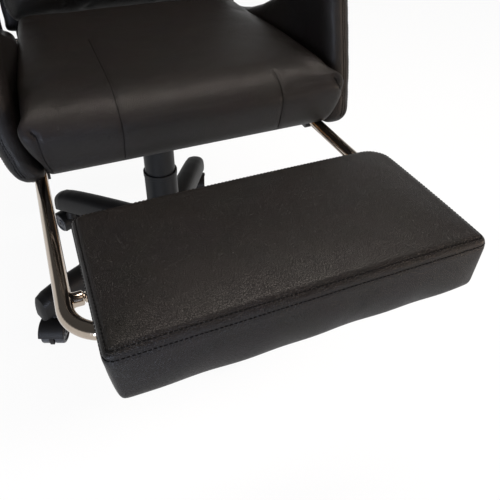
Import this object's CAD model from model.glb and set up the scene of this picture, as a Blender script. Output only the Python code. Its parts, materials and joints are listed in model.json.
import json
import math
import bmesh
import bpy
from mathutils import Matrix, Vector
from mathutils.bvhtree import BVHTree
from mathutils.kdtree import KDTree


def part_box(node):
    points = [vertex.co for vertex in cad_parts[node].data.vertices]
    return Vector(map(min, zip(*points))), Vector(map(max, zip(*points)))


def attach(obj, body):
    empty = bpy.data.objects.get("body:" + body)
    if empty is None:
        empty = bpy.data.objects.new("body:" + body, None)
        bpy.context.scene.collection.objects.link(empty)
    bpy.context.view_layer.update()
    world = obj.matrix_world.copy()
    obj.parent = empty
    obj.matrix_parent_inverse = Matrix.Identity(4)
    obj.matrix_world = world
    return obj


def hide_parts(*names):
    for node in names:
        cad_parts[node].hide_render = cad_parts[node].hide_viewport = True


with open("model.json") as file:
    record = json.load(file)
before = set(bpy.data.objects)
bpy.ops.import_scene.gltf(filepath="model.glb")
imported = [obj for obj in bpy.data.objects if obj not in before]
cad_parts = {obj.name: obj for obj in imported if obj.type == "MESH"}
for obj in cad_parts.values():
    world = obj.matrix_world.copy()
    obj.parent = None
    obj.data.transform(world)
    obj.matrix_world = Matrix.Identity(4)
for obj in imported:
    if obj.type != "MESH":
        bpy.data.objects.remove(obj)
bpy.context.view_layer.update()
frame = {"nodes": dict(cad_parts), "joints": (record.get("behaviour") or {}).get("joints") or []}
joints = {joint["name"]: joint for joint in frame["joints"]}

# The view. A camera held at about a metre, in front of the chair and to the sitter's right,
# looks down at the footrest. Its place is measured from the axis of the gas lift.
column_low, column_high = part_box("column_tube")
column = Vector(((column_low.x + column_high.x) / 2, (column_low.y + column_high.y) / 2, 0))
photo_side = 500
axis_in_photo = (246.94, 176.66)
focal_pixels = 554.9
camera_data = bpy.data.cameras.new("view_camera")
camera_data.sensor_width = 36
camera_data.lens = focal_pixels / photo_side * camera_data.sensor_width
camera_data.shift_x = 0.5 - axis_in_photo[0] / photo_side
camera_data.shift_y = axis_in_photo[1] / photo_side - 0.5
camera_data.clip_start = 0.05
camera = bpy.data.objects.new("view_camera", camera_data)
camera.location = column + Vector((-0.2134, -1.0279, 0.9357))
turn_right, look_down = math.radians(22.25), math.radians(33.35)
camera.rotation_euler = (math.pi / 2 - look_down, 0, -turn_right)
bpy.context.scene.collection.objects.link(camera)
bpy.context.scene.camera = camera
bpy.context.scene.view_settings.view_transform = "Standard"


# The room. A pale floor runs out to white walls under a dim ceiling. A warm strip light hangs
# above, and three weaker lamps fill from the front, as in a product photograph on white.
def linear(colour):
    """An sRGB hex colour as the linear one that a socket takes."""
    parts = [int(colour[i:i + 2], 16) / 255 for i in (1, 3, 5)]
    return [p / 12.92 if p <= 0.04045 else ((p + 0.055) / 1.055) ** 2.4 for p in parts] + [1.0]


def fill(tree, node, sockets):
    """Gives a node's sockets their own values, or the output of a node, its first if none is named."""
    for socket, value in sockets.items():
        source = value.outputs[0] if isinstance(value, bpy.types.Node) else value
        if isinstance(source, bpy.types.NodeSocket):
            tree.links.new(source, node.inputs[socket])
        else:
            node.inputs[socket].default_value = source


def add_node(tree, kind, sockets={}, **settings):
    """One shader node, with its settings and what its sockets hold."""
    node = tree.nodes.new("ShaderNode" + kind)
    for name, value in settings.items():
        setattr(node, name, value)
    fill(tree, node, sockets)
    return node


def seen_directly(tree):
    """One for a ray from the camera, or by way of glass or metal, and zero for the room's light."""
    path = add_node(tree, "LightPath")
    total = path.outputs["Is Camera Ray"]
    for ray in ("Is Glossy Ray", "Is Transmission Ray"):
        total = add_node(tree, "Math", {0: total, 1: path.outputs[ray]}, operation="ADD", use_clamp=True)
    return total


room = bpy.data.worlds.new("room")
room.use_nodes = True
bpy.context.scene.world = room
tree = room.node_tree
tree.nodes.clear()
dim = add_node(tree, "Background", {"Color": linear("#c9ccd2"), "Strength": 0.48})
towards = add_node(tree, "TexCoord").outputs["Generated"]
upward = add_node(tree, "SeparateXYZ", {"Vector": towards}).outputs["Z"]
wall_to_ceiling = add_node(
    tree, "MapRange", {"Value": upward, "From Min": 0.05, "From Max": 0.36, "To Min": 1.0, "To Max": 0.1},
    interpolation_type="SMOOTHSTEP")
viewed = add_node(tree, "LightPath").outputs["Is Camera Ray"]
brightness = add_node(tree, "Math", {0: viewed, 1: wall_to_ceiling}, operation="MAXIMUM")
white = add_node(tree, "Background", {"Color": linear("#ffffff"), "Strength": brightness})
mixed = add_node(tree, "MixShader", {0: seen_directly(tree), 1: dim, 2: white})
add_node(tree, "OutputWorld", {"Surface": mixed})

floor_half, glow_share = 6.0, 0.93
bm = bmesh.new()
bmesh.ops.create_grid(bm, x_segments=1, y_segments=1, size=floor_half)
floor_mesh = bpy.data.meshes.new("studio_floor")
bm.to_mesh(floor_mesh)
bm.free()
floor = bpy.data.objects.new("studio_floor", floor_mesh)
bpy.context.scene.collection.objects.link(floor)
floor_paper = bpy.data.materials.new("floor_paper")
floor_paper.use_nodes = True
tree = floor_paper.node_tree
tree.nodes.clear()
paper = add_node(tree, "BsdfDiffuse", {"Color": linear("#f2f2f2")})
glow = add_node(tree, "Emission", {"Color": linear("#ffffff"), "Strength": 1.0})
share = add_node(tree, "Math", {0: seen_directly(tree), 1: glow_share}, operation="MULTIPLY")
mixed = add_node(tree, "MixShader", {0: share, 1: paper, 2: glow})
add_node(tree, "OutputMaterial", {"Surface": mixed})
floor_mesh.materials.append(floor_paper)

lamps = [
    ("front_softbox", (-0.35, -1.75, 2.75), (0.0, -0.2, 0.5), (1.3, 1.3), 7, "#ffead9"),
    ("overhead_strip", (0.55, 0.1, 2.6), (0.55, -0.45, 0.5), (1.7, 0.5), 62, "#fff3e8"),
    ("left_fill", (-1.23, -2.1, 0.6), (-0.2, 0.0, 0.55), (0.9, 0.9), 52, "#dfe9ff"),
    ("right_fill", (1.75, -1.45, 0.6), (0.2, 0.0, 0.55), (0.9, 0.9), 26, "#ffe0c4"),
]
for name, place, target, (across, deep), power, colour in lamps:
    lamp = bpy.data.lights.new(name, "AREA")
    lamp.shape = "RECTANGLE"
    lamp.size, lamp.size_y = across, deep
    lamp.energy = power
    lamp.color = linear(colour)[:3]
    holder = bpy.data.objects.new(name, lamp)
    holder.location = place
    holder.rotation_euler = (Vector(target) - Vector(place)).to_track_quat("-Z", "Y").to_euler()
    bpy.context.scene.collection.objects.link(holder)


# The base: five hollow legs on a hub, one moulding of black glass-filled nylon 6. The legs are
# channels, open underneath, that narrow outwards and close into round ends over the casters.
def new_material(name):
    """A material, its tree, its Principled shader, and the coordinates that all patterns lie on."""
    material = bpy.data.materials.new(name)
    material.use_nodes = True
    tree = material.node_tree
    place = add_node(tree, "TexCoord").outputs["Object"]
    return material, tree, tree.nodes["Principled BSDF"], place


def tinted(ramp, dark, light, start=0.0, end=1.0):
    """A colour ramp, once its two colours and their places are set."""
    for stop, colour, share in zip(ramp.color_ramp.elements, (dark, light), (start, end)):
        stop.color, stop.position = linear(colour), share
    return ramp


# Moulded nylon: satin, with the fine spark-eroded grain of the mould and a greyer bloom in places
moulded_nylon, tree, shader, place = new_material("moulded_nylon")
bloom = add_node(tree, "TexNoise", {"Scale": 1 / 0.045, "Detail": 3.0, "Vector": place})
grain = add_node(tree, "TexNoise", {"Scale": 1 / 0.0007, "Detail": 2.0, "Vector": place})
tint = tinted(add_node(tree, "ValToRGB", {"Fac": bloom}), "#0b0b0b", "#141313")
rough = add_node(tree, "MapRange", {"Value": bloom, "To Min": 0.42, "To Max": 0.6})
bump = add_node(tree, "Bump", {"Height": grain, "Strength": 0.25, "Distance": 0.0002})
fill(tree, shader, {"Base Color": tint, "Roughness": rough, "Normal": bump, "Specular IOR Level": 0.22})


def turned(outline, closed=False, steps=48):
    """A bmesh turned about Z from (radius, height) points; closed outlines make a ring."""
    bm = bmesh.new()
    points = [bm.verts.new((radius, 0, height)) for radius, height in outline]
    pairs = list(zip(points, points[1:]))
    if closed:
        pairs.append((points[-1], points[0]))
    edges = [bm.edges.new(pair) for pair in pairs]
    bmesh.ops.spin(bm, geom=points + edges, cent=(0, 0, 0), axis=(0, 0, 1), angle=2 * math.pi,
                   steps=steps, use_merge=True, use_duplicate=False)
    bmesh.ops.remove_doubles(bm, verts=bm.verts, dist=0.00001)
    bmesh.ops.recalc_face_normals(bm, faces=bm.faces)
    return bm


def both_ends(half):
    """A whole outline from its upper half, which is mirrored below zero."""
    return [(radius, -height) for radius, height in half] + half[::-1]


def aligned(start, direction):
    """The matrix that takes the Z axis to a line through start."""
    turn = Vector(direction).normalized().to_track_quat("Z", "Y").to_matrix().to_4x4()
    return Matrix.Translation(Vector(start)) @ turn


facet_degrees = 38


def made(name, bm, material, sharp_degrees=facet_degrees):
    """An object from a bmesh, smooth but for edges sharper than an angle."""
    mesh = bpy.data.meshes.new(name)
    bm.to_mesh(mesh)
    bm.free()
    mesh.shade_smooth()
    mesh.set_sharp_from_angle(angle=math.radians(sharp_degrees))
    mesh.materials.append(material)
    piece = bpy.data.objects.new(name, mesh)
    bpy.context.scene.collection.objects.link(piece)
    return piece


def eased(piece, width):
    """Small rounds along a piece's sharp edges."""
    bevel = piece.modifiers.new("eased_edges", "BEVEL")
    bevel.width = width
    bevel.segments = 2
    bevel.limit_method = "ANGLE"
    bevel.angle_limit = math.radians(facet_degrees)
    bevel.harden_normals = True
    return piece


def joined(bm, *parts):
    """Adds other bmeshes to the first."""
    for part in parts:
        helper = bpy.data.meshes.new("joined_part")
        part.to_mesh(helper)
        part.free()
        bm.from_mesh(helper)
        bpy.data.meshes.remove(helper)
    return bm


def mounted(piece, body, node=None):
    """Rides a piece on its body, with its record's slot, in place of the CAD node if it has one."""
    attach(piece, body)
    if node:
        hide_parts(node)
    return piece


star_low, star_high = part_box("base_star")
leg_count = 5
first_leg = math.radians(131.7)
leg_root, leg_reach, arch_power, tip_drop = 0.030, 0.335, 0.35, 0.022
root_half_width, tip_half_width = 0.030, 0.0255
root_top, tip_top = star_high.z - 0.004, 0.104
root_bottom, tip_bottom = 0.092, star_low.z
section_shares = [(-1, 0), (-1, 0.5), (-0.9, 0.84), (-0.55, 1), (0, 1.04), (0.55, 1), (0.9, 0.84), (1, 0.5),
                  (1, 0), (0.84, 0), (0.8, 0.55), (0.5, 0.78), (-0.5, 0.78), (-0.8, 0.55), (-0.84, 0)]
outer_corners = 9
station_shares = [0, 0.2, 0.4, 0.6, 0.78, 0.86, 0.93, 0.975, 1.0]
tip_round_shares = [1, 1, 1, 1, 1, 1, 0.98, 0.88, 0.6]
channel_shares = [1, 1, 1, 1, 0.8, 0, 0, 0, 0]
bm = bmesh.new()
corner = bm.verts.layers.int.new("corner")


def leg_point(index, station):
    """One corner of a leg's section at one station, before the leg is turned to its place."""
    along, full, hollow = station_shares[station], tip_round_shares[station], channel_shares[station]
    side, rise = section_shares[index]
    half = full * (root_half_width + (tip_half_width - root_half_width) * along)
    arch = (1 - along) ** arch_power
    top = tip_top + (root_top - tip_top) * arch - (1 - full) * tip_drop
    bottom = tip_bottom + (root_bottom - tip_bottom) * arch
    if index >= outer_corners:
        rise *= hollow
    return Vector((leg_root + (leg_reach - leg_root) * along, side * half, bottom + rise * (top - bottom)))


for leg in range(leg_count):
    turn = Matrix.Translation(column) @ Matrix.Rotation(first_leg - leg * 2 * math.pi / leg_count, 4, "Z")
    ring = []
    for index in range(len(section_shares)):
        vert = bm.verts.new(turn @ leg_point(index, 0))
        vert[corner] = index
        ring.append(vert)
    face = bm.faces.new(ring)
    for station in range(1, len(station_shares)):
        grown = bmesh.ops.extrude_face_region(bm, geom=[face])["geom"]
        face = [item for item in grown if isinstance(item, bmesh.types.BMFace)][0]
        for vert in face.verts:
            vert.co = turn @ leg_point(vert[corner], station)
bmesh.ops.recalc_face_normals(bm, faces=bm.faces)
legs = made("base_legs", bm, moulded_nylon)
smooth = legs.modifiers.new("moulded_rounds", "SUBSURF")
smooth.levels = smooth.render_levels = 2
mounted(legs, "base", "base_star")

hub_bore, hub_radius, hub_round, hub_depth = 0.0256, 0.045, 0.006, 0.062
hub_foot = star_high.z - hub_depth
hub = turned([
    (hub_bore, hub_foot), (hub_radius - hub_round, hub_foot), (hub_radius, hub_foot + hub_round),
    (hub_radius, star_high.z - hub_round), (hub_radius - 0.002, star_high.z - 0.002),
    (hub_radius - hub_round, star_high.z), (hub_bore, star_high.z)], closed=True, steps=64)
hub.transform(Matrix.Translation(column))
mounted(made("base_hub", hub, moulded_nylon), "base")

# Casters: a moulded hood with its neck and steel stem over two wheels on one axle. The hood is
# the same nylon as the base; the wheels are tinted polyurethane, dulled by the floor.
caster_tread, tree, shader, place = new_material("caster_tread")
dust = add_node(tree, "TexNoise", {"Scale": 1 / 0.006, "Detail": 6.0, "Vector": place})
tint = tinted(add_node(tree, "ValToRGB", {"Fac": dust}), "#1a1c22", "#2e3138", 0.35, 0.75)
scuff = add_node(tree, "Bump", {"Height": dust, "Strength": 0.3, "Distance": 0.0002})
fill(tree, shader, {"Base Color": tint, "Normal": scuff, "Roughness": 0.42})

hood_inner, hood_outer, hood_half = 0.0275, 0.0302, 0.0265
web_half, web_radius, web_drop = 0.0042, hood_inner + 0.001, 0.012
neck_foot, neck_top, neck_radius, stem_top, stem_radius = 0.020, 0.0392, 0.009, 0.056, 0.0055
axle_half, axle_radius, hood_from, hood_round_angle = 0.0248, 0.004, -16, 186
wheel_width, wheel_bore, wheel_edge, caster_round, wheel_gap = 0.019, 0.0043, 0.0012, 0.0016, 0.0005
hollow_outer, hollow_inner, hollow_depth = 0.0183, 0.0105, 0.0024
for number in range(1, leg_count + 1):
    stem = Vector(joints[f"caster_{number}_swivel"]["pos_m"])
    roll = joints[f"caster_{number}_wheel_a_roll"]
    axle = Vector(roll["pos_m"])
    across = Vector(roll["axis"])
    trail = Vector((axle.x - stem.x, axle.y - stem.y, 0))
    heading = Matrix.Rotation(math.atan2(trail.y, trail.x), 4, "Z")
    bm = bmesh.new()
    rim = both_ends([(hood_inner, hood_half), (hood_outer - caster_round, hood_half),
                     (hood_outer, hood_half - caster_round)])
    ring = [bm.verts.new((radius, along, 0)) for radius, along in rim]
    face = bm.faces.new(ring)
    start = Matrix.Rotation(math.radians(hood_from), 3, "Y")
    bmesh.ops.rotate(bm, verts=ring, cent=(0, 0, 0), matrix=start)
    bmesh.ops.spin(bm, geom=[face, *face.edges, *ring], cent=(0, 0, 0), axis=(0, -1, 0),
                   angle=math.radians(hood_round_angle), steps=28, use_merge=False, use_duplicate=False)
    web = turned(both_ends([(0, web_half), (web_radius, web_half)]))
    web.transform(Matrix.Rotation(math.pi / 2, 4, "X"))
    bmesh.ops.bisect_plane(web, geom=web.verts[:] + web.edges[:] + web.faces[:],
                           plane_co=(0, 0, -web_drop), plane_no=(0, 0, -1), clear_outer=True)
    bmesh.ops.holes_fill(web, edges=[edge for edge in web.edges if edge.is_boundary])
    neck = turned([
        (0, neck_foot), (neck_radius + 0.004, neck_foot), (neck_radius + 0.002, 0.029), (neck_radius, 0.033),
        (neck_radius, neck_top), (stem_radius, neck_top), (stem_radius, stem_top), (0, stem_top)])
    neck.transform(Matrix.Translation((-trail.length, 0, 0)))
    pin = turned(both_ends([(0, axle_half), (axle_radius, axle_half)]), steps=20)
    pin.transform(Matrix.Rotation(math.pi / 2, 4, "X"))
    joined(bm, web, neck, pin)
    bmesh.ops.recalc_face_normals(bm, faces=bm.faces)
    bm.transform(Matrix.Translation(axle) @ heading)
    hood = eased(made(f"caster_{number}_body", bm, moulded_nylon), 0.0007)
    mounted(hood, f"caster_{number}", f"caster_{number}_hood")
    radius = axle.z
    for letter, side in (("a", 1), ("b", -1)):
        wheel = turned([
            (wheel_bore, 0), (radius - wheel_edge, 0), (radius, wheel_edge), (radius, wheel_width - 0.003),
            (radius - 0.0009, wheel_width - wheel_edge), (radius - 0.003, wheel_width),
            (hollow_outer + 0.0012, wheel_width), (hollow_outer, wheel_width - hollow_depth),
            (hollow_inner, wheel_width - hollow_depth), (hollow_inner - 0.0013, wheel_width),
            (wheel_bore, wheel_width)], closed=True, steps=56)
        wheel.transform(aligned(axle + side * across * (web_half + wheel_gap), side * across))
        wheel = made(f"caster_{number}_roller_{letter}", wheel, caster_tread)
        mounted(wheel, f"caster_{number}_wheel_{letter}", f"caster_{number}_wheel_{letter}")

# The gas lift: a painted column tube pressed into the hub, the ground rod of the gas spring that
# rises out of it, and three telescopic shells of polypropylene that hide both.
# Ground steel: bright, with fine rings around the lift's axis from the centreless grinder
ground_steel, tree, shader, place = new_material("ground_steel")
rings = add_node(tree, "Mapping", {"Scale": (1, 1, 14), "Vector": place})
marks = add_node(tree, "TexNoise", {"Scale": 1 / 0.012, "Detail": 4.0, "Vector": rings})
tint = tinted(add_node(tree, "ValToRGB", {"Fac": marks}), "#9d9fa1", "#c9cbcc")
rough = add_node(tree, "MapRange", {"Value": marks, "To Min": 0.16, "To Max": 0.34})
fill(tree, shader, {"Base Color": tint, "Roughness": rough, "Metallic": 1.0})

# Painted steel: black powder coat, with its orange peel and paler patches of dust
painted_steel, tree, shader, place = new_material("painted_steel")
peel = add_node(tree, "TexNoise", {"Scale": 1 / 0.0016, "Detail": 2.0, "Vector": place})
dust = add_node(tree, "TexNoise", {"Scale": 1 / 0.03, "Detail": 5.0, "Vector": place})
tint = tinted(add_node(tree, "ValToRGB", {"Fac": dust}), "#18191b", "#2b2c2e", 0.4)
bump = add_node(tree, "Bump", {"Height": peel, "Strength": 0.35, "Distance": 0.0002})
fill(tree, shader, {"Base Color": tint, "Normal": bump, "Roughness": 0.38})

# Polypropylene: charcoal, satin, with long faint flow marks down the shell
lift_shell, tree, shader, place = new_material("lift_shell_polypropylene")
flow = add_node(tree, "Mapping", {"Scale": (1, 1, 0.12), "Vector": place})
marks = add_node(tree, "TexNoise", {"Scale": 1 / 0.008, "Detail": 3.0, "Vector": flow})
tint = tinted(add_node(tree, "ValToRGB", {"Fac": marks}), "#0e0f10", "#18191a")
rough = add_node(tree, "MapRange", {"Value": marks, "To Min": 0.34, "To Max": 0.5})
fill(tree, shader, {"Base Color": tint, "Roughness": rough, "Specular IOR Level": 0.13})


def lathed(name, outline, material, body, node, closed=True):
    """A piece turned about the lift's axis from (radius, height) points, in place of one node."""
    bm = turned(outline, closed, 56)
    bm.transform(Matrix.Translation(column))
    mounted(made(name, bm, material), body, node)


column_bore, column_edge = 0.0162, 0.0012
column_radius = (column_high.x - column_low.x) / 2
lathed("lift_column", [
    (column_bore, column_low.z), (column_radius - column_edge, column_low.z),
    (column_radius, column_low.z + column_edge), (column_radius, column_high.z - column_edge),
    (column_radius - column_edge, column_high.z), (column_bore, column_high.z)],
    painted_steel, "base", "column_tube")
rod_low, rod_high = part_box("gas_rod")
rod_radius, rod_edge = (rod_high.x - rod_low.x) / 2, 0.0015
lathed("gas_spring_rod", [
    (0, rod_low.z), (rod_radius, rod_low.z), (rod_radius, rod_high.z - rod_edge),
    (rod_radius - rod_edge, rod_high.z), (0, rod_high.z)],
    ground_steel, "lift", "gas_rod", closed=False)
shell_wall, bead, shell_play = 0.0022, 0.0011, 0.0006
shell_nodes = [("cover_lower", "base"), ("cover_middle", "cover_slide"), ("cover_upper", "lift")]
for stage, (node, body) in enumerate(shell_nodes):
    low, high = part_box(node)
    outer = (high.x - low.x) / 2
    inner = outer - shell_wall
    foot = [(inner, low.z), (outer, low.z)]
    head = [(outer, high.z - 0.0105), (outer + bead, high.z - 0.0095), (outer + bead, high.z - 0.001),
            (outer, high.z), (inner, high.z)]
    if stage == 0:
        foot = [(inner, low.z + shell_wall), (column_radius + shell_play, low.z + shell_wall),
                (column_radius + shell_play, low.z), (outer - 0.0015, low.z), (outer, low.z + 0.0015),
                (outer, low.z + 0.012), (outer + bead / 2, low.z + 0.0125),
                (outer + bead / 2, low.z + 0.0145), (outer, low.z + 0.015)]
    elif stage == 2:
        head = [(outer, high.z - 0.002), (outer - 0.002, high.z), (rod_radius + shell_play, high.z),
                (rod_radius + shell_play, high.z - shell_wall), (inner, high.z - shell_wall)]
    lathed(f"lift_shell_{stage + 1}", foot + head, lift_shell, body, node)


# The tilt mechanism: a pressed steel box on the rod's taper and the plate under the seat board,
# hinged on one pin against a coil spring. Both pressings keep the CAD's own shape.
def finished(material, *nodes):
    """Gives CAD pieces that keep their own shape their finish."""
    for node in nodes:
        for held in frame["nodes"][node].material_slots:
            held.material = material


finished(painted_steel, "tilt_housing", "seat_plate")


def swept(stops, radius, sides=20):
    """A bmesh of a round bar along a path, extruded ring by ring from its first face."""
    stops = [Vector(stop) for stop in stops]
    tangents = []
    for index in range(len(stops)):
        before = stops[max(index - 1, 0)]
        after = stops[min(index + 1, len(stops) - 1)]
        tangents.append((after - before).normalized())
    bm = bmesh.new()
    corner = bm.verts.layers.int.new("corner")
    bmesh.ops.create_circle(bm, cap_ends=True, segments=sides, radius=radius)
    bm.verts.ensure_lookup_table()
    shape = [vert.co.copy() for vert in bm.verts]
    for index, vert in enumerate(bm.verts):
        vert[corner] = index
    bm.faces.ensure_lookup_table()
    face = bm.faces[0]
    turn = Vector((0, 0, 1)).rotation_difference(tangents[0]).to_matrix()
    for vert in face.verts:
        vert.co = stops[0] + turn @ shape[vert[corner]]
    for index in range(1, len(stops)):
        turn = tangents[index - 1].rotation_difference(tangents[index]).to_matrix() @ turn
        grown = bmesh.ops.extrude_face_region(bm, geom=[face])["geom"]
        face = [item for item in grown if isinstance(item, bmesh.types.BMFace)][0]
        for vert in face.verts:
            vert.co = stops[index] + turn @ shape[vert[corner]]
    bmesh.ops.recalc_face_normals(bm, faces=bm.faces)
    return bm


def bend(centre, radius, start, end, steps=10):
    """Stops around a quarter turn, in degrees about a level centre."""
    angles = [math.radians(start + (end - start) * step / steps) for step in range(steps + 1)]
    return [Vector(centre) + radius * Vector((math.cos(a), math.sin(a), 0)) for a in angles]


def centre_of(node):
    """The middle of a CAD node's box."""
    low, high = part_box(node)
    return (low + high) / 2


pin = centre_of("tilt_pin")
pin_low, pin_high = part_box("tilt_pin")
pin_reach, pin_head = (pin_high.x - pin_low.x) / 2, 0.004
pin_radius, pin_head_radius, pin_edge = 0.006, 0.009, 0.001
bm = turned(both_ends([
    (0, pin_reach), (pin_head_radius - pin_edge, pin_reach), (pin_head_radius, pin_reach - pin_edge),
    (pin_head_radius, pin_reach - pin_head), (pin_radius, pin_reach - pin_head)]), steps=32)
bm.transform(aligned(pin, (1, 0, 0)))
mounted(made("tilt_hinge_pin", bm, ground_steel), "mechanism", "tilt_pin")

spring_low, spring_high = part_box("tilt_spring")
coils, wire_radius, steps_a_coil = 9, 0.0027, 20
coil_radius = (spring_high.z - spring_low.z) / 2 - wire_radius
spring_length = spring_high.x - spring_low.x - 2 * wire_radius
stops = []
for step in range(coils * steps_a_coil + 1):
    share = step / (coils * steps_a_coil)
    angle = 2 * math.pi * coils * share
    stops.append((spring_low.x + wire_radius + spring_length * share, pin.y + coil_radius * math.cos(angle),
                  pin.z + coil_radius * math.sin(angle)))
coil = made("tilt_coil_spring", swept(stops, wire_radius, sides=10), painted_steel)
mounted(coil, "mechanism", "tilt_spring")


# The tension knob: a lobed grip of polypropylene, moulded on a bolt that runs up into the
# housing. It is gripped from below and sets how hard the chair is to tilt.
def rounded_over(bm, edges, width, segments):
    """Rounds some edges of a bmesh."""
    bmesh.ops.bevel(bm, geom=edges, offset=width, offset_type="OFFSET", affect="EDGES", segments=segments,
                    profile=0.5, material=-1)


knob_low, knob_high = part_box("tension_knob")
knob_centre = centre_of("tension_knob")
knob_reach, knob_dip, knob_lobes, knob_sides = 0.023, 0.0022, 8, 96
bolt_radius, bolt_foot, knob_grip = 0.005, knob_low.z + 0.012, 0.024
bm = bmesh.new()
bmesh.ops.create_cone(bm, cap_ends=True, segments=knob_sides, radius1=knob_reach, radius2=knob_reach,
                      depth=knob_grip)
for vert in bm.verts:
    angle = math.atan2(vert.co.y, vert.co.x)
    vert.co.xy *= 1 - knob_dip / knob_reach * (1 - math.cos(knob_lobes * angle)) / 2
rims = [edge for edge in bm.edges if abs(edge.verts[0].co.z - edge.verts[1].co.z) < 0.0001]
rounded_over(bm, rims, 0.002, 3)
bm.transform(Matrix.Translation((knob_centre.x, knob_centre.y, knob_low.z + knob_grip / 2)))
bolt = turned([(0, bolt_foot), (bolt_radius, bolt_foot), (bolt_radius, knob_high.z), (0, knob_high.z)],
              steps=24)
bolt.transform(Matrix.Translation((knob_centre.x, knob_centre.y, 0)))
mounted(made("tension_grip", joined(bm, bolt), lift_shell), "knob", "tension_knob")

# The height lever: a steel rod through the housing's wall, pressed into a flat moulded paddle of
# polypropylene. The paddle narrows towards the rod, and all its edges are rounded.
lever_low, lever_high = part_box("height_lever")
lever = centre_of("height_lever")
lever_radius = (lever_high.z - lever_low.z) / 2
bm = swept([(lever_high.x, lever.y, lever.z), (lever_low.x, lever.y, lever.z)], lever_radius)
mounted(eased(made("height_lever_rod", bm, painted_steel), 0.0006), "height_lever", "height_lever")
grip_low, grip_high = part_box("height_lever_grip")
grip = centre_of("height_lever_grip")
neck_width_share, neck_depth_share = 0.55, 0.9
bm = bmesh.new()
bmesh.ops.create_cube(bm, size=1)
bmesh.ops.scale(bm, vec=grip_high - grip_low, verts=bm.verts)
bmesh.ops.translate(bm, vec=grip, verts=bm.verts)
for vert in bm.verts:
    if vert.co.x > grip.x:
        vert.co.y = grip.y + (vert.co.y - grip.y) * neck_width_share
        vert.co.z = grip.z + (vert.co.z - grip.z) * neck_depth_share
upright = [edge for edge in bm.edges if abs(edge.verts[0].co.z - edge.verts[1].co.z) > 0.005]
rounded_over(bm, upright, 0.009, 5)
rims = [edge for edge in bm.edges if edge.calc_face_angle() > 1.2]
rounded_over(bm, rims, 0.003, 3)
mounted(made("height_lever_paddle", bm, lift_shell), "height_lever", "height_lever_grip")

# The footrest's slide: two square steel rails screwed under the seat board, each with a moulded
# bush in its mouth, and the sliders on the tube's rear ends. They keep the CAD's own shape.
finished(painted_steel, "rail_right", "rail_left")
finished(lift_shell, "rail_bush_right", "slider_right", "rail_bush_left", "slider_left")

# The footrest's tube: 20 mm steel tube bent to a U, chromed. A short lug is welded inside each
# arm of the U, and the pivot rod runs between the lugs, held by a nut and a washer at each end.
# The pad's two steel brackets turn on that rod.
# Chrome: a slightly warm mirror, cloudy and duller in places from wiping
chromed_tube, tree, shader, place = new_material("chromed_tube")
wiped = add_node(tree, "TexNoise", {"Scale": 1 / 0.02, "Detail": 6.0, "Roughness": 0.7, "Vector": place})
rough = add_node(tree, "MapRange", {"Value": wiped, "From Min": 0.35, "From Max": 0.8, "To Min": 0.05,
                                    "To Max": 0.2})
tint = tinted(add_node(tree, "ValToRGB", {"Fac": wiped}), "#bdb1a4", "#9d9184")
fill(tree, shader, {"Base Color": tint, "Roughness": rough, "Metallic": 1.0})

tube_low, tube_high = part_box("u_frame")
tube_radius, tube_bend = 0.010, 0.052
tube_z = tube_high.z - tube_radius
right_x, left_x, bar_y = tube_low.x + tube_radius, tube_high.x - tube_radius, tube_low.y + tube_radius
stops = [Vector((right_x, tube_high.y, tube_z)), Vector((right_x, 0.0, tube_z))]
stops += bend((right_x + tube_bend, bar_y + tube_bend, tube_z), tube_bend, 180, 270, steps=20)
stops += bend((left_x - tube_bend, bar_y + tube_bend, tube_z), tube_bend, 270, 360, steps=20)
stops += [Vector((left_x, 0.0, tube_z)), Vector((left_x, tube_high.y, tube_z))]
bm = swept(stops, tube_radius, sides=36)
pivot = centre_of("pivot_rod")
pivot_low, pivot_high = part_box("pivot_rod")
lug_radius, lug_reach, lug_edge, weld = 0.009, 0.023, 0.0015, 0.0022
for x, side in ((right_x, 1), (left_x, -1)):
    lug = turned([
        (0, 0), (lug_radius + weld, 0), (lug_radius + weld, tube_radius - 0.002),
        (lug_radius + weld / 3, tube_radius), (lug_radius, tube_radius + weld),
        (lug_radius, lug_reach - lug_edge), (lug_radius - lug_edge, lug_reach), (0, lug_reach)], steps=36)
    lug.transform(aligned((x, pivot.y, pivot.z), (side, 0, 0)))
    joined(bm, lug)
mounted(made("footrest_tube", bm, chromed_tube), "footrest", "u_frame")

pivot_radius = (pivot_high.z - pivot_low.z) / 2
bm = swept([(pivot_low.x, pivot.y, pivot.z), (pivot_high.x, pivot.y, pivot.z)], pivot_radius, sides=32)
mounted(made("footrest_pivot_rod", bm, chromed_tube), "footrest", "pivot_rod")
for word, side in (("right", 1), ("left", -1)):
    low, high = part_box(f"collar_{word}")
    centre = (low + high) / 2
    length = high.x - low.x
    washer, flats = 0.0016, (high.z - low.z) / 2
    bm = bmesh.new()
    bmesh.ops.create_cone(bm, cap_ends=True, segments=6, radius1=flats, radius2=flats,
                          depth=length - washer)
    rounded_over(bm, bm.edges[:], 0.0005, 2)
    bm.transform(aligned(centre, (1, 0, 0)))
    rim = flats + 0.001
    ring = turned([(pivot_radius, 0), (rim, 0), (rim, washer), (pivot_radius, washer)], closed=True)
    ring.transform(aligned((centre.x + side * (length / 2 - washer), centre.y, centre.z), (side, 0, 0)))
    nut = made(f"pivot_nut_{word}", joined(bm, ring), chromed_tube)
    mounted(nut, "footrest", f"collar_{word}")
    finished(painted_steel, f"pad_bracket_{word}")

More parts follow.
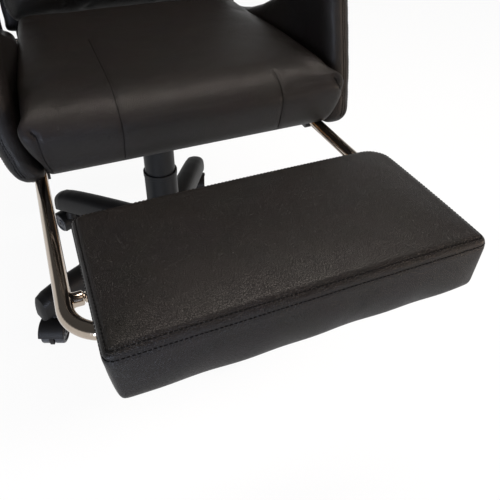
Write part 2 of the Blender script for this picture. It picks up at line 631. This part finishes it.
# The footrest's pad: black bonded leather sewn as a boxed cover over foam on a plywood board.
# A row of stitches runs just inside the top's edge and another along the band below it.
# Bonded leather: near black, with pores and a pebble grain of about 2 mm, darker in its valleys
# and slightly brown on the pebbles. Soft creases of some centimetres vary its colour and gloss.
bonded_leather, tree, shader, place = new_material("bonded_leather")
warp = add_node(tree, "TexNoise", {"Scale": 1 / 0.004, "Detail": 2.0, "Vector": place}).outputs["Color"]
shift = add_node(tree, "VectorMath", {0: warp, "Scale": 0.0009}, operation="SCALE")
moved = add_node(tree, "VectorMath", {0: place, 1: shift}, operation="ADD")
pebbles = add_node(tree, "TexVoronoi", {"Scale": 1 / 0.0022, "Vector": moved}, feature="DISTANCE_TO_EDGE")
pores = add_node(tree, "TexNoise", {"Scale": 1 / 0.0006, "Detail": 2.0, "Vector": place})
creases = add_node(tree, "TexNoise", {"Scale": 1 / 0.05, "Detail": 4.0, "Distortion": 0.6, "Vector": place})
valley = add_node(tree, "MapRange", {"Value": pebbles.outputs["Distance"], "From Max": 0.15},
                  interpolation_type="SMOOTHSTEP")
tint = tinted(add_node(tree, "ValToRGB", {"Fac": valley}), "#090808", "#171413")
worn = add_node(tree, "Mix", {"Factor": 0.35, 6: tint, 7: creases.outputs["Color"]}, data_type="RGBA",
                blend_type="MULTIPLY")
rough = add_node(tree, "MapRange", {"Value": creases, "To Min": 0.36, "To Max": 0.46})
height = add_node(tree, "Math", {0: pores, 1: 0.22, 2: valley}, operation="MULTIPLY_ADD")
grain = add_node(tree, "Bump", {"Height": height, "Strength": 0.5, "Distance": 0.0005})
soft = add_node(tree, "Bump", {"Height": creases, "Normal": grain, "Strength": 0.25, "Distance": 0.004})
fill(tree, shader, {"Base Color": worn.outputs[2], "Roughness": rough, "Normal": soft,
                    "Specular IOR Level": 0.18})

# Sewing thread: bonded polyester, black, twisted at about a millimetre
sewing_thread, tree, shader, place = new_material("sewing_thread")
twist = add_node(tree, "TexNoise", {"Scale": 1 / 0.001, "Detail": 1.0, "Vector": place})
tint = tinted(add_node(tree, "ValToRGB", {"Fac": twist}), "#020202", "#080808")
fill(tree, shader, {"Base Color": tint, "Roughness": 0.8, "Specular IOR Level": 0.1})

# Birch plywood: pale veneers with long grain, and the darker lines of the glue on its edges
birch_plywood, tree, shader, place = new_material("birch_plywood")
long = add_node(tree, "Mapping", {"Scale": (0.08, 1, 1), "Vector": place})
fibres = add_node(tree, "TexNoise", {"Scale": 1 / 0.004, "Detail": 6.0, "Vector": long})
plies = add_node(tree, "TexWave", {"Scale": 1 / 0.0196, "Distortion": 0.4, "Vector": place},
                 wave_type="BANDS", bands_direction="Z").outputs["Color"]
tint = tinted(add_node(tree, "ValToRGB", {"Fac": fibres}), "#8a6a45", "#c09a6a")
glued = add_node(tree, "Mix", {"Factor": 0.3, 6: tint, 7: plies}, data_type="RGBA", blend_type="MULTIPLY")
fill(tree, shader, {"Base Color": glued.outputs[2], "Roughness": 0.65})
finished(birch_plywood, "pad_board")


smooth_all = 180


def clamped(value, low, high):
    return max(low, min(high, value))


def evened_out(piece, passes, chosen=lambda number: True):
    """Smooths a skin's chosen points, a little in each pass."""
    bm = bmesh.new()
    bm.from_mesh(piece.data)
    verts = [vert for number, vert in enumerate(bm.verts) if chosen(number)]
    for _ in range(passes):
        bmesh.ops.smooth_vert(bm, verts=verts, factor=0.5, use_axis_x=True, use_axis_y=True,
                              use_axis_z=True)
    bm.to_mesh(piece.data)
    bm.free()


def fullness(value, low, high):
    """How full a crown stands between two ends: 1 in the middle, 0 at both."""
    share = (2 * value - low - high) / (high - low)
    return max(0.0, 1 - share * share)


def padded_cover(name, low, high, edge, foot, cell, form, lean=Matrix.Identity(4)):
    """A leather cover in even cells: a rounded box, each point then moved by the cushion's form."""
    bm = bmesh.new()
    units = [Vector((1, 0, 0)), Vector((0, 1, 0)), Vector((0, 0, 1))]
    half = (high - low) / 2
    cells = [max(2, round(2 * half[axis] / cell)) for axis in range(3)]
    for axis in range(3):
        u, v = (axis + 1) % 3, (axis + 2) % 3
        for side in (-1, 1):
            place = Matrix((units[u] * half[u], units[v] * half[v], units[axis])).transposed().to_4x4()
            place.translation = (low + high) / 2 + units[axis] * half[axis] * side
            bmesh.ops.create_grid(bm, x_segments=cells[u], y_segments=cells[v], size=1, matrix=place)
    bmesh.ops.remove_doubles(bm, verts=bm.verts, dist=0.0001)
    middle = (low.z + high.z) / 2
    for vert in bm.verts:
        reach = Vector((edge[0], edge[1], foot if vert.co.z < middle else edge[2]))
        core = Vector([clamped(vert.co[i], low[i] + reach[i], high[i] - reach[i]) for i in range(3)])
        away = Vector([(vert.co[i] - core[i]) / reach[i] for i in range(3)])
        if away.length > 0:
            away.normalize()
        vert.co = form(Vector([core[i] + away[i] * reach[i] for i in range(3)]))
    bmesh.ops.recalc_face_normals(bm, faces=bm.faces)
    bm.transform(lean)
    return made(name, bm, bonded_leather, smooth_all)


def baked(piece):
    """The piece's mesh with its modifiers applied."""
    mesh = bpy.data.meshes.new_from_object(piece.evaluated_get(bpy.context.evaluated_depsgraph_get()))
    piece.modifiers.clear()
    old = piece.data
    piece.data = mesh
    bpy.data.meshes.remove(old)


def stuffed(piece, cap, held, slack=0.0, frames=20, calm=0):
    """Blows the cover up as cloth over its filling. Points for which held is true stay in place,
    and no other moves further than the cap. The calm passes even out small creases, and one
    subdivision then rounds the cover."""
    start = [vert.co.copy() for vert in piece.data.vertices]
    fixed = piece.vertex_groups.new(name="fixed")
    fixed.add([vert.index for vert in piece.data.vertices if held(vert.co)], 1.0, "REPLACE")
    cover = piece.modifiers.new("cover", "CLOTH")
    cover.settings.use_pressure = True
    cover.settings.uniform_pressure_force = 4.0
    cover.settings.effector_weights.gravity = 0
    cover.settings.vertex_group_mass = fixed.name
    cover.settings.shrink_min = -slack
    cover.settings.quality = 5
    cover.point_cache.frame_start = 1
    cover.point_cache.frame_end = frames
    cover.collision_settings.use_collision = False
    for step in range(1, frames + 1):
        bpy.context.scene.frame_set(step)
    blown = piece.evaluated_get(bpy.context.evaluated_depsgraph_get()).data
    moves = [vert.co - before for vert, before in zip(blown.vertices, start)]
    piece.modifiers.remove(cover)
    piece.vertex_groups.remove(fixed)
    bpy.context.scene.frame_set(1)
    for vert, before, move in zip(piece.data.vertices, start, moves):
        if move.length > cap:
            move = move * (cap / move.length)
        vert.co = before + move
    evened_out(piece, calm, lambda number: not held(start[number]))
    rounded = piece.modifiers.new("rounded", "SUBSURF")
    rounded.levels = rounded.render_levels = 1
    baked(piece)
    piece.data.shade_smooth()


thread_radius, tack_radius = 0.0007, 0.0012


def evened(path, spacing):
    """Points at an even spacing along a path."""
    path = [Vector(point) for point in path]
    points, carry = [path[0]], 0.0
    for start, end in zip(path, path[1:]):
        length = (end - start).length
        place = spacing - carry
        while place <= length:
            points.append(start.lerp(end, place / length))
            place += spacing
        carry = (carry + length) % spacing
    return points


def sewn(piece, body, rows):
    """Sinks seams into a cover along paths and lays a row of stitches in each one that shows its
    thread. A row has its name, its path, the seam's depth and width, and its thread's radius."""
    surface = BVHTree.FromObject(piece, bpy.context.evaluated_depsgraph_get())
    moves = {}
    points = KDTree(len(piece.data.vertices))
    for vert in piece.data.vertices:
        points.insert(vert.co, vert.index)
    points.balance()
    reach_in_widths = 2.5
    for _, path, depth, width, _ in rows:
        for place in evened(path, width / 2):
            near = surface.find_nearest(place)[0]
            for _, index, distance in points.find_range(near, reach_in_widths * width):
                sink = depth * math.exp(-(distance / width) ** 2)
                moves[index] = max(moves.get(index, 0), sink)
    normals = {index: piece.data.vertices[index].normal.copy() for index in moves}
    for index, sink in moves.items():
        piece.data.vertices[index].co -= normals[index] * sink
    piece.data.update()
    sunk = BVHTree.FromObject(piece, bpy.context.evaluated_depsgraph_get())
    spacing, above, length_share, proud_share = 0.0048, 0.003, 0.42, 0.4
    bm = bmesh.new()
    bmesh.ops.create_uvsphere(bm, u_segments=6, v_segments=5, radius=1)
    stitch = bpy.data.meshes.new("stitch")
    bm.to_mesh(stitch)
    bm.free()
    for name, path, _, _, thick in rows:
        if not thick:
            continue
        hits = []
        for point in evened(path, spacing):
            place, normal = surface.find_nearest(point)[:2]
            hit = sunk.ray_cast(place + normal * above, -normal)
            if hit[0]:
                hits.append(hit)
        bm = bmesh.new()
        for before, after in zip(hits, hits[1:]):
            along = (after[0] - before[0]).normalized()
            up = before[1]
            across = along.cross(up).normalized()
            turn = Matrix((along, across, up)).transposed().to_4x4()
            size = Matrix.Diagonal((spacing * length_share, thick, thick, 1))
            place = Matrix.Translation((before[0] + after[0]) / 2 + up * thick * proud_share)
            one = stitch.copy()
            one.transform(place @ turn @ size)
            bm.from_mesh(one)
            bpy.data.meshes.remove(one)
        bmesh.ops.recalc_face_normals(bm, faces=bm.faces)
        mounted(made(name, bm, sewing_thread), body)
    bpy.data.meshes.remove(stitch)


def ring_path(low, high, rounds, height, steps=6):
    """A closed path at one height around a rectangle, each corner rounded to its own radius."""
    corners = [(high.x, high.y, 0), (low.x, high.y, 90), (low.x, low.y, 180), (high.x, low.y, 270)]
    points = []
    for (x, y, start), round_radius in zip(corners, rounds):
        centre = (x - math.copysign(round_radius, x - (low.x + high.x) / 2),
                  y - math.copysign(round_radius, y - (low.y + high.y) / 2), height)
        points += bend(centre, round_radius, start, start + 90, steps)
    return points + points[:1]


pad_half, pad_height, pad_taper, pad_crown = 0.213, 0.068, 0.009, 0.009
pad_edge, band_drop = 0.0115, 0.0125
wave_height, wave_length, second_length, wave_reach = 0.0011, 0.019, 0.047, 0.02
pad_rounds = {"right": 0.014, "left": 0.032}
pad_low, pad_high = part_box("footrest_pad")
pad_from = Vector((column.x - pad_half, pad_low.y, pad_low.z))
pad_to = Vector((column.x + pad_half, pad_high.y, pad_low.z + pad_height))


def pad_form(point):
    """The pad's crown, its round rear corners, and its sides that lean in towards the foot."""
    rise = (point.z - pad_from.z) / pad_height
    swell = fullness(point.y, pad_from.y, pad_to.y) * fullness(point.x, pad_from.x, pad_to.x)
    share = (point.x - column.x) / pad_half
    round_radius = pad_rounds["left" if share > 0 else "right"]
    in_x = abs(point.x - column.x) - (pad_half - round_radius)
    in_y = point.y - (pad_to.y - round_radius)
    if in_x > 0 and in_y > 0:
        pull = max(in_x, in_y) / math.hypot(in_x, in_y)
        point.x += in_x * (pull - 1) * (1 if share > 0 else -1)
        point.y += in_y * (pull - 1)
    wave = wave_height * math.sin(point.x / wave_length) * math.sin(point.x / second_length + 1)
    point.x -= pad_taper * (1 - rise) * share
    point.z += rise * pad_crown * math.sqrt(swell)
    point.y += wave * (1 - rise) if point.y < pad_from.y + wave_reach else 0
    return point


def on_pad_edge(point):
    """True on the foot, and along the corners and the top's edge, where the cover is sewn."""
    side = min(point.x - pad_from.x, pad_to.x - point.x)
    end = min(point.y - pad_from.y, pad_to.y - point.y)
    near = 0.0055
    return point.z < pad_from.z + 0.004 or (
        min(side, end) < pad_edge + near and point.z > pad_to.z - band_drop - near) or (
        side < pad_taper + near and end < near)


pad_edges = Vector((pad_edge, pad_edge, band_drop))
pad = padded_cover("footrest_cushion", pad_from, pad_to, pad_edges, 0.003, 0.0055, pad_form)
stuffed(pad, 0.004, on_pad_edge, slack=0.001, calm=2)
inset = Vector((0.005, 0.005, 0))
top_ring = ring_path(pad_from + inset, pad_to - inset, (0.028, 0.012, 0.006, 0.006), pad_to.z + 0.002)
band_points = [(0.004, pad_to.y - 0.012), (0.002, pad_from.y + 0.004), (0.006, pad_from.y)]
band = [(pad_from.x + x, y, pad_to.z - 0.008) for x, y in band_points]
band_points = [*reversed(band_points[1:]), (0.004, pad_to.y - 0.034)]
band += [(pad_to.x - x, y, pad_to.z - 0.008) for x, y in band_points]
pad_seam = (0.0009, 0.0022, thread_radius)
sewn(pad, "pad", [("footrest_top_stitches", top_ring, *pad_seam),
                  ("footrest_band_stitches", band, *pad_seam)])
mounted(pad, "pad", "footrest_pad")

# The seat: foam under a cover of the same leather, stapled to a plywood board that is screwed to
# the seat plate and the rails. Two seams run over the front, and one boxes each front corner.
finished(birch_plywood, "seat_board")
seat_low, seat_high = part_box("seat_cushion")
seat_half, seat_side_crown, seat_height = 0.252, 0.003, 0.098
seat_front, seat_rear = column.y - 0.290, seat_high.y
seat_lean, seat_crown, side_line, side_arch = 0.022, 0.011, 0.004, 0.009
arch_middle_share, arch_half_share = 0.2, 0.48
flares, flare_powers = {"right": 0.013, "left": 0.021}, {"right": 1.0, "left": 0.06}
tapers, taper_reach = {"right": 0.027, "left": 0.005}, 0.75
foot_tapers = {"right": 0.030, "left": 0.003}
arm_front, crest_drop, crest_reach = column.y - 0.279, 0.017, 0.085
seam_offsets = {"right": 0.111, "left": 0.146}
seam_ends = {"right": 0.26, "left": 0.02}
seat_from = Vector((column.x - seat_half + seat_side_crown, seat_front, seat_low.z))
seat_to = Vector((column.x + seat_half - seat_side_crown, seat_rear, seat_low.z + seat_height))


def seat_form(point):
    """The seat's crown, its front that leans out, its crest that falls, and its sides' arch."""
    across = point.x - column.x
    rise = clamped((point.z - seat_low.z) / seat_height, 0, 1)
    depth = fullness(point.y, seat_front, seat_rear)
    width = fullness(across, -seat_half, seat_half)
    front = clamped((seat_rear - point.y) / (seat_rear - seat_front), 0, 1)
    word = "left" if across > 0 else "right"
    side = abs(across / seat_half)
    point.y -= seat_lean * math.sin(rise * math.pi / 2) * front ** 3
    crown = seat_side_crown * math.sin(rise * math.pi) * math.sqrt(depth) * side ** 2
    point.x += math.copysign(crown, across)
    ahead = clamped((arm_front - point.y) / seat_lean, 0, 1)
    spread = flares[word] * ahead * math.sin(rise * math.pi / 2) ** flare_powers[word]
    spread -= foot_tapers[word] * (1 - rise) ** 2 * front ** 6
    spread -= tapers[word] * clamped(1 - front / taper_reach, 0, 1) * rise
    point.x += spread * side ** 4 * (1 if across > 0 else -1)
    arch = side_line + side_arch * max(0, 1 - ((1 - front - arch_middle_share) / arch_half_share) ** 2)
    crest = crest_drop * clamped(1 - (point.y - seat_front + seat_lean) / crest_reach, 0, 1) ** 2
    point.z += rise * (seat_crown * math.sqrt(depth * width) + arch * side ** 4 - crest)
    return point


def on_seat_edge(point):
    """True on the foot, where the cover is stapled to the board."""
    return point.z < seat_low.z + 0.005


seat_edges = Vector((0.010, 0.036, 0.018))
seat = padded_cover("seat_cover", seat_from, seat_to, seat_edges, 0.009, 0.0068, seat_form)
stuffed(seat, 0.006, on_seat_edge, slack=0.001, calm=3)
crest = seat_to.z + 0.02
corner_lines = {"right": [(0.224, -0.002, 0.002), (0.229, -0.018, 0.083), (0.234, -0.025, 0.102)],
                "left": [(0.252, 0.012, 0.002), (0.252, 0.002, 0.060), (0.2465, -0.019, 0.085),
                         (0.2425, -0.019, 0.104)]}
rows = []
for word, side in (("right", -1), ("left", 1)):
    x = column.x + side * seam_offsets[word]
    line = [(x, seat_front - 0.004, seat_low.z + 0.006), (x, seat_front - 0.02, seat_to.z - 0.02),
            (x, seat_front - 0.01, crest), (x, seat_front + seam_ends[word], crest)]
    rows.append((f"seat_seam_{word}", line, 0.0016, 0.0024, thread_radius))
    line = [(column.x + side * x, seat_front + y, seat_low.z + z) for x, y, z in corner_lines[word]]
    rows.append((f"seat_corner_{word}", line, 0.0035, 0.0030, thread_radius))
    rows.append((f"seat_tack_{word}", line[-2:], 0.0050, 0.0032, tack_radius))
sewn(seat, "seat", rows)
mounted(seat, "seat", "seat_cushion")


# The arms: a padded loop of the same leather over a plywood core at each side, bolted to two
# flat steel brackets that reach out from under the seat board.
def recut(name, node, voxel, passes):
    """A node's shape as an even skin, with its facets smoothed away."""
    bm = bmesh.new()
    bm.from_mesh(frame["nodes"][node].data)
    bm.transform(frame["nodes"][node].matrix_world)
    bmesh.ops.remove_doubles(bm, verts=bm.verts, dist=0.0002)
    skin = made(name, bm, bonded_leather, smooth_all)
    even = skin.modifiers.new("even_skin", "REMESH")
    even.mode = "VOXEL"
    even.voxel_size = voxel
    baked(skin)
    evened_out(skin, passes)
    skin.data.shade_smooth()
    return skin


# The foot is swept inwards at the front, and the inner face swells where the padding is thick.
foot_sweeps, inner_gains = {"right": 0.026, "left": 0.007}, {"right": 0.3, "left": 2.0}
foot_rise, foot_run, foot_run_fade, arm_prouds = 0.100, 0.140, 0.105, {"right": 0.003, "left": 0.007}
inner_swells, swell_loss, swell_top, swell_fade = {"right": 0.024, "left": 0.016}, 0.006, 0.165, 0.05
swell_from, swell_full, swell_to = column.y - 0.16, column.y + 0.11, column.y + 0.212
under_back, under_top, under_fade, under_sharper = 0.078, 0.104, 0.012, 0.7
swell_foot, swell_foot_fade = 0.016, 0.008
arm_lean, top_drop, top_run = 0.048, 0.062, 0.055
edge_stitch_low, edge_stitch_step, edge_stitch_stops = 0.014, 0.018, 13
arm_seam = (0.0008, 0.0024, thread_radius)


def foot_sweep(word, inward, rise):
    """How far the arm's front has gone inwards at a height, more so towards its inner face."""
    return foot_sweeps[word] * (1 + inner_gains[word] * inward) * (1 - rise) ** 1.5


def inner_swell(word, y, level):
    """How far the arm's inner face swells at a place, longest at a low level under the back."""
    low_share = clamped((under_top - level) / under_fade, 0, 1)
    end, fade = swell_to + under_back * low_share, (swell_to - swell_full) * (1 - under_sharper * low_share)
    along = min((y - swell_from) / (swell_full - swell_from), (end - y) / fade)
    share = clamped((swell_top - level) / swell_fade, 0, 1)
    share *= clamped((level - swell_foot) / swell_foot_fade, 0, 1)
    full = inner_swells[word] - swell_loss * clamped((y - swell_full) / (swell_to - swell_full), 0, 1)
    return full * math.sin(clamped(along, 0, 1) * math.pi / 2) * share


for word, side in (("right", -1), ("left", 1)):
    arm_low, arm_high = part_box(f"arm_{word}")
    arm_size = arm_high - arm_low
    arm = recut(f"arm_{word}_cover", f"arm_{word}", 0.006, 6)
    foot_z = arm_low.z + 0.006
    outer_x = arm_high.x if side > 0 else arm_low.x
    stuffed(arm, 0.003, lambda co: co.z < foot_z, slack=0.001, frames=12, calm=2)
    lows = [min(vert.co[axis] for vert in arm.data.vertices) for axis in range(3)]
    highs = [max(vert.co[axis] for vert in arm.data.vertices) for axis in range(3)]
    for vert in arm.data.vertices:
        for axis in range(3):
            share = (vert.co[axis] - lows[axis]) / (highs[axis] - lows[axis])
            vert.co[axis] = arm_low[axis] + share * arm_size[axis]
        level = vert.co.z - arm_low.z
        ahead = clamped((arm_low.y + foot_run - vert.co.y) / foot_run_fade, 0, 1)
        inward = abs(vert.co.x - outer_x) / arm_size.x
        sweep = foot_sweep(word, inward, clamped(level / foot_rise, 0, 1)) * ahead
        swell = inner_swell(word, vert.co.y, level) * inward
        vert.co.x += side * (arm_prouds[word] * (1 - inward) - sweep - swell)
    rows = []
    for number, inset in ((1, 0.012), (2, 0.022)):
        outline = [(arm_high.y - inset, arm_low.z + inset), (arm_low.y + inset, arm_low.z + inset),
                   (arm_low.y + arm_lean + inset, arm_high.z - top_drop),
                   (arm_low.y + arm_lean + top_run, arm_high.z - inset),
                   (arm_high.y - inset, arm_high.z - inset)]
        line = [(outer_x, y, z) for y, z in outline + outline[:1]]
        rows.append((f"arm_{word}_stitches_{number}", line, *arm_seam))
    for number, offset in ((3, 0.005), (4, 0.011)):
        line = []
        for step in range(edge_stitch_stops):
            level = edge_stitch_low + edge_stitch_step * step
            sweep = foot_sweep(word, offset / arm_size.x, min(1, level / foot_rise))
            front_y = arm_low.y - 0.01 + arm_lean * level / arm_size.z
            line.append((outer_x - side * (offset + sweep), front_y, arm_low.z + level))
        rows.append((f"arm_{word}_stitches_{number}", line, *arm_seam))
    sewn(arm, "seat", rows)
    mounted(arm, "seat", f"arm_{word}")
    finished(painted_steel, f"arm_bracket_front_{word}", f"arm_bracket_rear_{word}")

# The recliner: a plate on each side of the seat board and one on each side of the back, joined
# by a steel rod that keeps both sides in step.
for word in ("right", "left"):
    finished(painted_steel, f"recliner_fixed_{word}", f"recliner_moving_{word}")
hinge_low, hinge_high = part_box("sync_rod")
hinge = (hinge_low + hinge_high) / 2
hinge_radius = (hinge_high.z - hinge_low.z) / 2
bm = swept([(hinge_low.x, hinge.y, hinge.z), (hinge_high.x, hinge.y, hinge.z)], hinge_radius, sides=28)
mounted(eased(made("recliner_rod", bm, ground_steel), 0.0008), "back", "sync_rod")

# The recline lever: a bent rod of painted steel, welded to a hub on the right plate, outside the
# rail. A ribbed grip of polypropylene is pushed on to its front end.
low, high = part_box("recline_lever")
grip_low, grip_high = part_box("recline_lever_grip")
lever_radius, lever_bend, hub_radius, hub_length, hub_edge = 0.004, 0.016, 0.009, 0.006, 0.001
lever_x, lever_y, lever_z = (grip_low.x + grip_high.x) / 2, high.y - hub_radius, (low.z + high.z) / 2
stops = [(high.x - hub_length / 2, lever_y, lever_z)]
stops += bend((lever_x + lever_bend, lever_y - lever_bend, lever_z), lever_bend, 90, 180)
stops.append((lever_x, low.y, lever_z))
bm = swept(stops, lever_radius)
hub = turned([
    (0, 0), (hub_radius - hub_edge, 0), (hub_radius, hub_edge), (hub_radius, hub_length - hub_edge),
    (hub_radius - hub_edge, hub_length), (0, hub_length)], steps=32)
hub.transform(aligned((high.x, lever_y, lever_z), (-1, 0, 0)))
lever = made("recline_lever_rod", joined(bm, hub), painted_steel)
mounted(lever, "recline_lever", "recline_lever")
grip_radius, grip_length = (grip_high.x - grip_low.x) / 2, grip_high.y - grip_low.y
ridges, first_ridge, ridge_spacing, ridge_depth = 5, 0.012, 0.007, 0.0009
outline = [(0, 0), (grip_radius - 0.003, 0), (grip_radius, 0.004)]
for ridge in range(ridges):
    start, floor_radius = first_ridge + ridge * ridge_spacing, grip_radius - ridge_depth
    outline += [(grip_radius, start), (floor_radius, start + 0.001), (floor_radius, start + 0.0025),
                (grip_radius, start + 0.0035)]
outline += [(grip_radius, grip_length - 0.004), (grip_radius - 0.003, grip_length), (0, grip_length)]
bm = turned(outline, steps=36)
bm.transform(aligned((lever_x, grip_high.y, lever_z), (0, -1, 0)))
mounted(made("recline_lever_handle", bm, lift_shell), "recline_lever", "recline_lever_grip")

# The back's shell: bent plywood, padded and covered in the same leather, which carries the back's
# cushion. It is broad between the arms, swells at the shoulders, and its top edge is arched.
lean_degrees = 10
back_lean = Matrix.Translation(hinge) @ Matrix.Rotation(math.radians(-lean_degrees), 4, "X")
arm_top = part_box("arm_right")[1].z
back_half, back_top, shell_top = 0.238, 0.730, 0.722
shell_half, shell_front, shell_foot, shell_thickness = 0.227, 0.008, 0.014, 0.046
shoulder_gain, head_narrow_share, back_arch = 0.026, 3, 0.034
middle_x = column.x - hinge.x


def back_form(top):
    """How the back's outline swells at the shoulders and arches at the top."""
    waist = arm_top - hinge.z
    shoulder = waist + (top - waist) / 2

    def form(point):
        across = point.x - middle_x
        width = abs(across / back_half)
        swell = 0
        if point.z > shoulder:
            swell = 1 - head_narrow_share * ((point.z - shoulder) / (top - shoulder)) ** 2
        elif point.z > waist:
            swell = math.sin((point.z - waist) / (shoulder - waist) * math.pi / 2) ** 2
        height = clamped(point.z / top, 0, 1)
        point.x += shoulder_gain * swell * across / back_half
        point.z -= back_arch * width ** 2 * height ** 6
        return point

    return form


shell_outline = back_form(shell_top)
shell_spread, spread_from, foot_fade, top_fade = 0.027, 0.010, 0.012, 0.110


def shell_form(point):
    """The shell's outline, wider between the arms."""
    below_top = (arm_top - hinge.z - point.z) / top_fade
    share = clamped(min((point.z - spread_from) / foot_fade, below_top), 0, 1)
    side = (point.x - middle_x) / shell_half
    point.x += shell_spread * (3 - 2 * share) * share ** 2 * side ** 3
    return shell_outline(point)


shell = padded_cover(
    "back_shell_cover", Vector((middle_x - shell_half, shell_front, shell_foot)),
    Vector((middle_x + shell_half, shell_front + shell_thickness, shell_top)),
    Vector((0.012, 0.020, 0.020)), 0.020, 0.0085, shell_form, back_lean)
stuffed(shell, 0.004, lambda co: (back_lean.inverted() @ co).y < shell_front + 0.006, frames=10)
behind = shell_front + shell_thickness + 0.01
centre_line = [back_lean @ Vector((middle_x, behind, z)) for z in (0.04, 0.3, 0.715)]
sewn(shell, "back", [("back_shell_stitches", centre_line, 0.0014, 0.0026, thread_radius)])
mounted(shell, "back", "back_shell")

# The back's cushion: foam in three rows, lumbar, chest and head, under the same leather, tied down
# to the shell along two level seams and along two upright channels through the lower rows.
cushion_rear, cushion_thickness, cushion_foot = shell_front - 0.0003, 0.082, 0.046
lumbar_seam, head_seam, back_crown, foot_gain, front_loss = 0.236, 0.470, 0.012, 0.013, 0.028
channel, channel_x, channel_half, tie_half = 0.007, 0.113, 0.026, 0.004
row_ends = [cushion_foot, lumbar_seam, head_seam, back_top]
outline_form = back_form(back_top)


def cushion_form(point):
    """The rows' crowns and the channels between them, on the side that the sitter leans on."""
    across = point.x - middle_x
    front = clamped((cushion_rear - point.y) / cushion_thickness, 0, 1)
    width = fullness(across, -back_half, back_half)
    gain = (foot_gain - front_loss * front ** 1.5) * clamped(1 - point.z / lumbar_seam, 0, 1)
    point.x += gain * (across / back_half) ** 4 * (1 if across > 0 else -1)
    rise = 0
    for low, high in zip(row_ends, row_ends[1:]):
        if low <= point.z <= high:
            rise = fullness(point.z, low, high)
    seam = abs(abs(across) - channel_x)
    sink = channel * max(0, 1 - seam / channel_half) ** 2 if point.z < head_seam else 0
    point.y -= front ** 2 * (back_crown * math.sqrt(rise * width) - sink - channel)
    return outline_form(point)


back = padded_cover(
    "back_cushion_cover", Vector((middle_x - back_half, cushion_rear - cushion_thickness, cushion_foot)),
    Vector((middle_x + back_half, cushion_rear, back_top)),
    Vector((0.020, 0.036, 0.032)), 0.050, 0.0075, cushion_form, back_lean)


def on_back_seam(point):
    """True on the cushion's back, and along its channels and rows, where the cover is tied down."""
    place = back_lean.inverted() @ point
    across = abs(place.x - middle_x)
    tied = min(abs(place.z - lumbar_seam), abs(place.z - head_seam)) < tie_half
    tied = tied or (abs(across - channel_x) < tie_half and place.z < head_seam)
    return place.y > cushion_rear - 0.008 or (place.y < cushion_rear - 0.05 and tied)


stuffed(back, 0.009, on_back_seam, slack=0.006, frames=14)
front_y = cushion_rear - cushion_thickness - 0.02
seams = [(f"back_channel_{number}", [(x, z) for z in (0.06, (0.06 + head_seam) / 2, head_seam)])
         for number, x in ((1, -channel_x), (2, channel_x))]
seams += [(f"back_row_{number}", [(x, z) for x in (-0.225, -0.1, 0, 0.1, 0.225)])
          for number, z in ((1, lumbar_seam), (2, head_seam))]
sewn(back, "back", [(name, [back_lean @ Vector((middle_x + x, front_y, z)) for x, z in line], 0.002, 0.003,
                     thread_radius) for name, line in seams])
mounted(back, "back", "back_cushion")

# The head cushion: a small pillow of the same leather, filled with fibre. It hangs on the back's
# top row, and its rear rests on that row's cover without going through it.
head_half, head_foot, head_top = 0.142, 0.520, 0.690
head_thickness, head_sink, head_crown = 0.062, 0.022, 0.008
head_rear = cushion_rear - cushion_thickness + head_sink


def head_form(point):
    """The pillow's crown, on the side that the sitter leans on."""
    front = clamped((head_rear - point.y) / head_thickness, 0, 1)
    width = fullness(point.x - middle_x, -head_half, head_half)
    rise = fullness(point.z, head_foot, head_top)
    point.y -= front * head_crown * math.sqrt(rise * width)
    return point


head = padded_cover(
    "head_cushion_cover", Vector((middle_x - head_half, head_rear - head_thickness, head_foot)),
    Vector((middle_x + head_half, head_rear, head_top)),
    Vector((0.026, 0.026, 0.026)), 0.026, 0.0055, head_form, back_lean)
stuffed(head, 0.006, lambda co: (back_lean.inverted() @ co).y > head_rear - 0.03, slack=0.006)
surface = BVHTree.FromPolygons([vert.co for vert in back.data.vertices],
                               [list(face.vertices) for face in back.data.polygons])
forward, far, clear = back_lean.to_3x3() @ Vector((0, -1, 0)), 0.3, 0.0006
for vert in head.data.vertices:
    hit, _, _, distance = surface.ray_cast(vert.co + forward * far, -forward)
    if hit and distance < far + clear:
        vert.co = hit + forward * clear
mounted(head, "back", "head_cushion")
